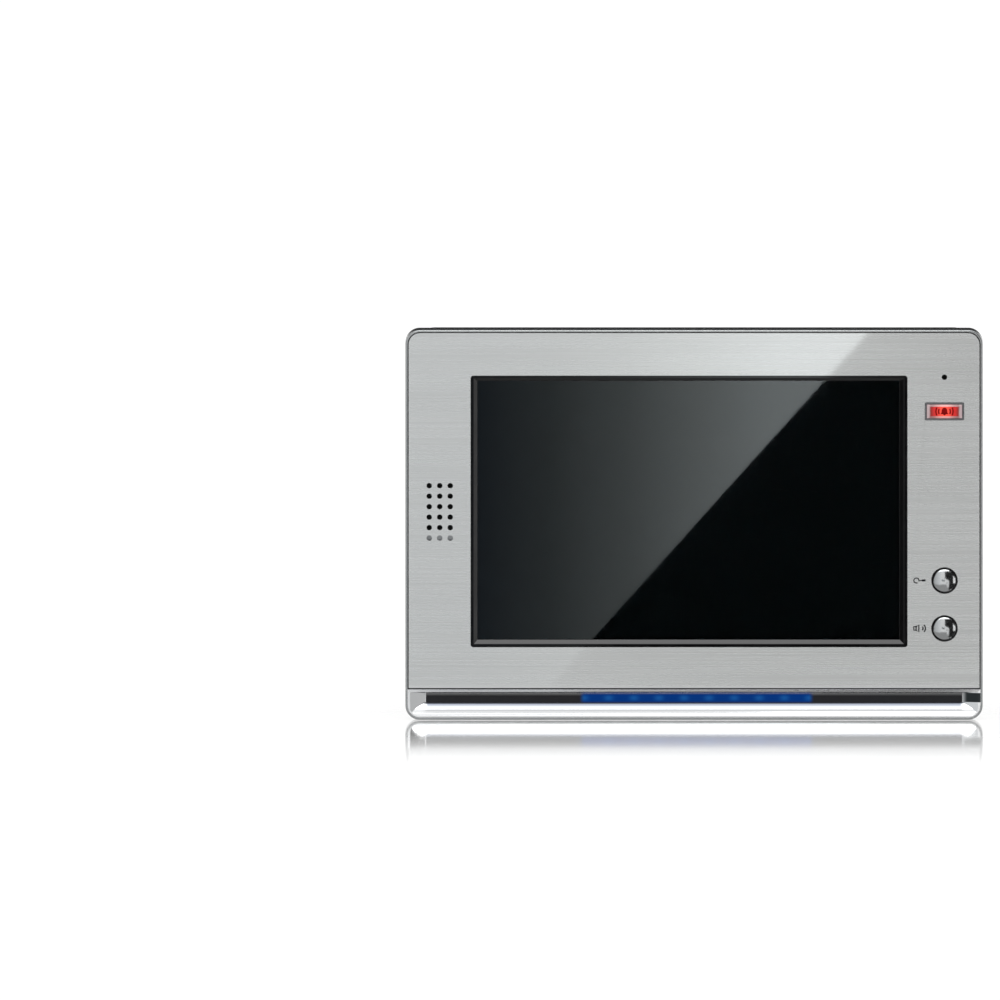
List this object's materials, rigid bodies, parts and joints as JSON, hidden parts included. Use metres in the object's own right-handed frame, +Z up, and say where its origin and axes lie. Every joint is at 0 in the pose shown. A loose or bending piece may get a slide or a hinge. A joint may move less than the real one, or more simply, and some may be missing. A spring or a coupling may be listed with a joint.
{
  "type": "video intercom monitor",
  "caption": "Flat wall-hung intercom monitor with a wide screen, brushed metal face, polished lit chin, speaker grille, alarm key, round chrome keys and a hook-on wall bracket.",
  "frame": {"origin": "middle of the wall bracket's four screws, on the wall", "axes": "+X to the right seen from the room, +Y into the wall, +Z up"},
  "size_m": [0.297, 0.0314, 0.201],
  "materials": {
    "silver_paint": "satin silver paint on moulded plastic",
    "brushed_plate": "brushed across, clear anodised",
    "gloss_black": "polished",
    "clear_window": "polished",
    "foam": "closed cell foam",
    "plated_steel": "zinc plated",
    "display_glass": "polished",
    "white_plastic": "moulded",
    "circuit_green": "solder mask",
    "amber_film": "film",
    "chrome": "mirror plated plastic",
    "smoked_bar": "smoked, polished",
    "diffuser": "frosted",
    "lamp_white": "moulded",
    "lead_red": "sleeved wires",
    "speaker_steel": "grey paint",
    "speaker_paper": "pressed paper",
    "magnet": "ferrite",
    "mic_can": "drawn",
    "black_rubber": "moulded",
    "black_plastic": "fine texture",
    "alarm_red": "translucent, polished",
    "grey_frame": "satin",
    "chip_black": "moulded",
    "capacitor_sleeve": "sleeve",
    "shield_steel": "tinned",
    "ferrite_grey": "sintered",
    "ivory_plastic": "moulded",
    "rear_plastic": "fine spark texture",
    "label_film": "printed film, blank"
  },
  "bodies": {
    "housing": {"front_housing": "silver_paint", "face_plate": "brushed_plate", "screen_surround": "gloss_black", "screen_lens": "clear_window", "window_gasket": "foam", "lcd_frame": "plated_steel", "lcd_panel": "display_glass", "lcd_backlight": "white_plastic", "lcd_driver_board": "circuit_green", "lcd_flat_lead": "amber_film", "lcd_clamps": "plated_steel", "lcd_clamp_screws": "plated_steel", "chin_trim": "chrome", "light_bar": "smoked_bar", "light_guide": "diffuser", "strip_led_board": "white_plastic", "strip_leds": "lamp_white", "strip_board_screws": "plated_steel", "strip_lead": "lead_red", "speaker_frame": "speaker_steel", "speaker_cone": "speaker_paper", "speaker_magnet": "magnet", "speaker_gasket": "foam", "speaker_clamp": "plated_steel", "speaker_screws": "plated_steel", "speaker_lead": "lead_red", "microphone": "mic_can", "microphone_boot": "black_rubber", "microphone_leads": "lead_red", "unlock_ring": "black_plastic", "talk_ring": "black_plastic", "alarm_frame": "grey_frame", "alarm_lamps": "lamp_white", "key_board": "circuit_green", "key_board_screws": "plated_steel", "key_switches": "chip_black", "key_lead": "lead_red", "main_board": "circuit_green", "board_chips": "chip_black", "capacitors": "capacitor_sleeve", "shield_can": "shield_steel", "coils": "ferrite_grey", "wiring_sockets": "ivory_plastic", "main_board_screws": "plated_steel", "side_control_board": "circuit_green", "wheel_spindles": "white_plastic", "side_lead": "lead_red", "rear_housing": "rear_plastic", "case_screws_set": "plated_steel", "rating_label": "label_film"},
    "unlock_key": {"unlock_button": "chrome", "unlock_plunger": "black_plastic"},
    "talk_key": {"talk_button": "chrome", "talk_plunger": "black_plastic"},
    "alarm_key": {"alarm_button": "alarm_red", "alarm_plunger": "black_plastic"},
    "brightness_control": {"brightness_wheel": "black_plastic"},
    "colour_control": {"colour_wheel": "black_plastic"},
    "volume_control": {"volume_wheel": "black_plastic"},
    "bracket": {"wall_bracket": "plated_steel"}
  },
  "joints": [
    {"name": "unlock_press", "type": "slide", "parent": "housing", "child": "unlock_key", "axis": [0, 1, 0], "range_m": [0, 0.0006], "stiffness_N_per_m": 1500, "springref_m": -0.0003},
    {"name": "talk_press", "type": "slide", "parent": "housing", "child": "talk_key", "axis": [0, 1, 0], "range_m": [0, 0.0006], "stiffness_N_per_m": 1500, "springref_m": -0.0003},
    {"name": "alarm_press", "type": "slide", "parent": "housing", "child": "alarm_key", "axis": [0, 1, 0], "range_m": [0, 0.0006], "stiffness_N_per_m": 1500, "springref_m": -0.0003},
    {"name": "brightness_turn", "type": "hinge", "parent": "housing", "child": "brightness_control", "pos_m": [0.1328, -0.008, 0.03], "axis": [0, 1, 0], "range_deg": [-135, 135]},
    {"name": "colour_turn", "type": "hinge", "parent": "housing", "child": "colour_control", "pos_m": [0.1328, -0.008, 0.006], "axis": [0, 1, 0], "range_deg": [-135, 135]},
    {"name": "volume_turn", "type": "hinge", "parent": "housing", "child": "volume_control", "pos_m": [0.1328, -0.008, -0.018], "axis": [0, 1, 0], "range_deg": [-135, 135]},
    {"name": "bracket_unhook", "type": "slide", "parent": "housing", "child": "bracket", "axis": [0, 0, -1], "range_m": [0, 0.009]}
  ]
}
